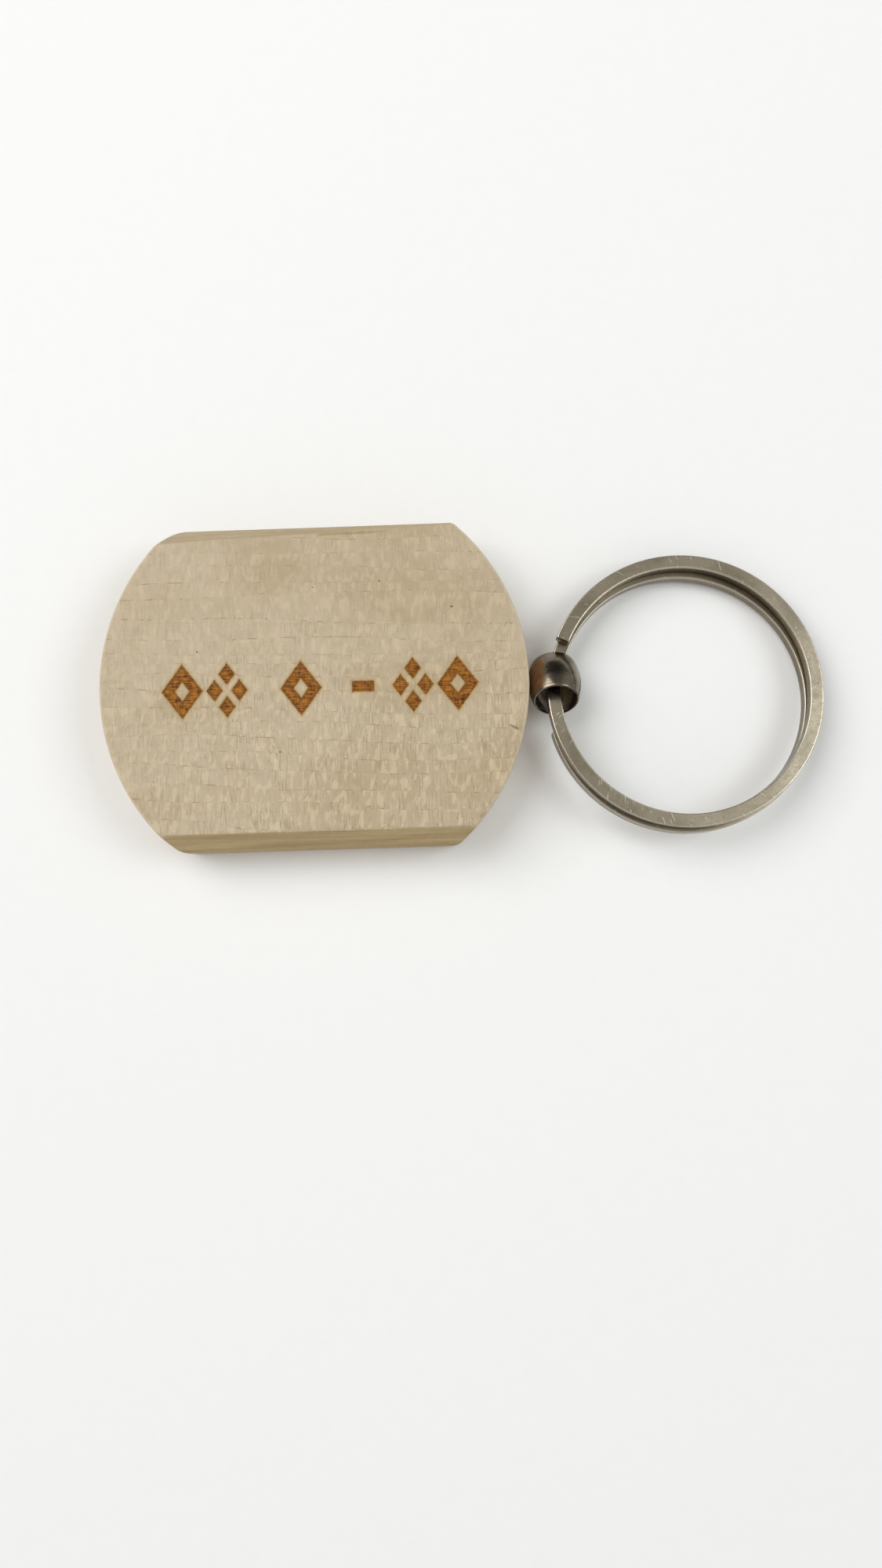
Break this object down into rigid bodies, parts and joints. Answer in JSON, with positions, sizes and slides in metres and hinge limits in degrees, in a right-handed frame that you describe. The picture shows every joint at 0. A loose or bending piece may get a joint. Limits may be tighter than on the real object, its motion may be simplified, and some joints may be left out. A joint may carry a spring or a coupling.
{
  "type": "key tag",
  "caption": "Round-ended wooden key tag with bevelled long edges and burnt geometric marks, joined to a split key ring by a swivelling metal barrel.",
  "frame": {"origin": "centre of the tag's back face, which it lies on", "axes": "+X along the tag towards the ring, +Y across the tag, +Z out of the marked front face"},
  "size_m": [0.0852, 0.0382, 0.008],
  "materials": {
    "wood": "bare, sanded, with burnt marks",
    "pin_nickel": "nickel plated",
    "barrel_nickel": "dark nickel plated, brushed",
    "ring_nickel": "nickel plated, satin, scratched"
  },
  "bodies": {
    "tag": {"wooden_tag": "wood", "swivel_pin": "pin_nickel"},
    "barrel": {"swivel_barrel": "barrel_nickel"},
    "ring": {"split_ring": "ring_nickel"}
  },
  "joints": [
    {"name": "barrel_swivel", "type": "hinge", "parent": "tag", "child": "barrel", "pos_m": [0.02825, -0.0002, 0.004], "axis": [1, 0, 0], "continuous": true},
    {"name": "ring_swing", "type": "hinge", "parent": "barrel", "child": "ring", "pos_m": [0.02825, -0.0002, 0.004], "axis": [0, -0.9336, 0.3584], "range_deg": [-90, 90]}
  ]
}
